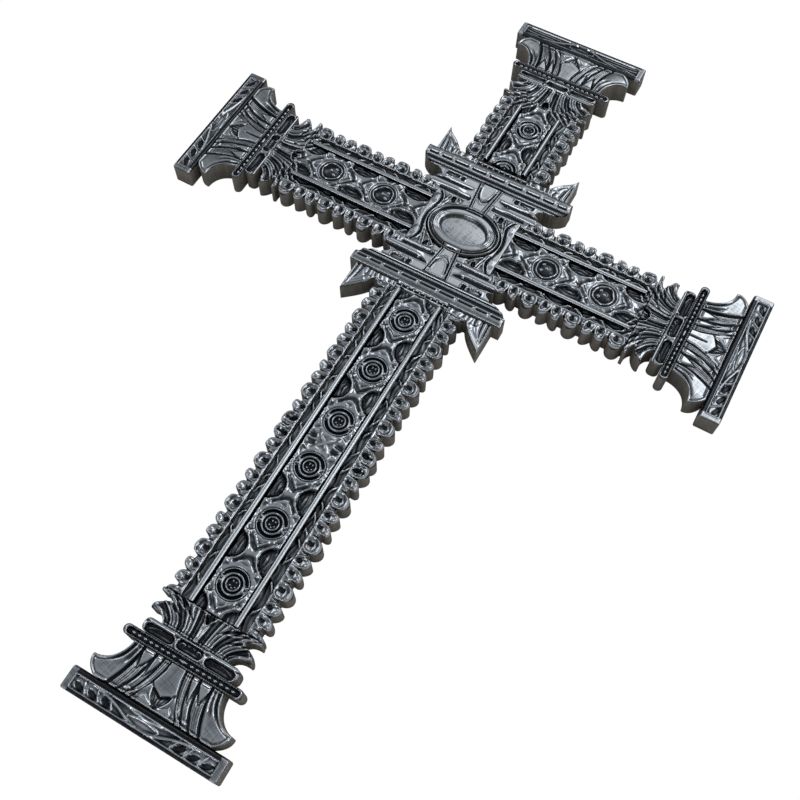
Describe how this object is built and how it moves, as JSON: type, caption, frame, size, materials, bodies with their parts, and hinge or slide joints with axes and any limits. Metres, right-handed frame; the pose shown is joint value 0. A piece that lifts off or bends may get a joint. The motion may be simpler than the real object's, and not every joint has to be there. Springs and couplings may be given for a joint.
{
  "type": "processional cross",
  "caption": "Ornate Latin processional cross head of antique silver relief castings on a halved core, with a clamped staff socket in the foot.",
  "frame": {"origin": "middle of the back face, on the staff's centre plane, halfway between foot and head", "axes": "+X across the arms to the viewer's right, +Y from the foot to the head, +Z out of the decorated face; the cross lies on its back"},
  "size_m": [0.428, 0.6, 0.021],
  "materials": {
    "core_wood": "oiled hardwood, closed grain",
    "strip_metal": "matt, darkened",
    "screw_steel": "plain bright",
    "socket_brass": "machined, slightly dulled",
    "centre_metal": "antique silver, dark blue-black patina in the recesses",
    "bezel_metal": "antique silver, scratch-brushed, polished ridges",
    "plaque_metal": "antique silver, cross-brushed by hand",
    "panel_metal": "antique silver, dark patina ground",
    "trim_metal": "antique silver, polished ridges",
    "border_metal": "antique silver, matt warm grey on the side walls",
    "capital_metal": "antique silver, polished ridges, dark patina in the recesses"
  },
  "bodies": {
    "cross": {"core_upright": "core_wood", "core_crossbar": "core_wood", "back_strip_upright": "strip_metal", "back_strips_side": "strip_metal", "cover_screws": "screw_steel", "staff_socket": "socket_brass", "centre_plate": "centre_metal", "oval_bezel": "bezel_metal", "oval_plaque": "plaque_metal", "upper_frieze": "centre_metal", "lower_frieze": "centre_metal", "upper_keystone": "bezel_metal", "lower_keystone": "bezel_metal", "upper_cornice": "centre_metal", "lower_cornice": "centre_metal", "upper_left_horn": "centre_metal", "upper_right_horn": "centre_metal", "lower_left_horn": "centre_metal", "lower_right_horn": "centre_metal", "lower_panel": "panel_metal", "lower_rosettes": "trim_metal", "lower_rails": "trim_metal", "lower_border_left": "border_metal", "lower_border_right": "border_metal", "upper_panel": "panel_metal", "upper_rosettes": "trim_metal", "upper_rails": "trim_metal", "upper_border_left": "border_metal", "upper_border_right": "border_metal", "left_panel": "panel_metal", "left_bosses": "trim_metal", "left_rails": "trim_metal", "left_border_top": "border_metal", "left_border_bottom": "border_metal", "right_panel": "panel_metal", "right_bosses": "trim_metal", "right_rails": "trim_metal", "right_border_top": "border_metal", "right_border_bottom": "border_metal", "lower_neck": "capital_metal", "lower_scroll_ring": "capital_metal", "lower_bead_ring": "capital_metal", "lower_bell": "capital_metal", "lower_abacus": "capital_metal", "upper_neck": "capital_metal", "upper_scroll_ring": "capital_metal", "upper_bead_ring": "capital_metal", "upper_bell": "capital_metal", "upper_abacus": "capital_metal", "left_neck": "capital_metal", "left_scroll_ring": "capital_metal", "left_bead_ring": "capital_metal", "left_bell": "capital_metal", "left_abacus": "capital_metal", "right_neck": "capital_metal", "right_scroll_ring": "capital_metal", "right_bead_ring": "capital_metal", "right_bell": "capital_metal", "right_abacus": "capital_metal"},
    "clamp": {"clamp_screw": "screw_steel"}
  },
  "joints": [
    {"name": "clamp_turn", "type": "hinge", "parent": "cross", "child": "clamp", "pos_m": [0, -0.27, 0.0016], "axis": [0, 0, 1], "range_deg": [-90, 270]}
  ]
}
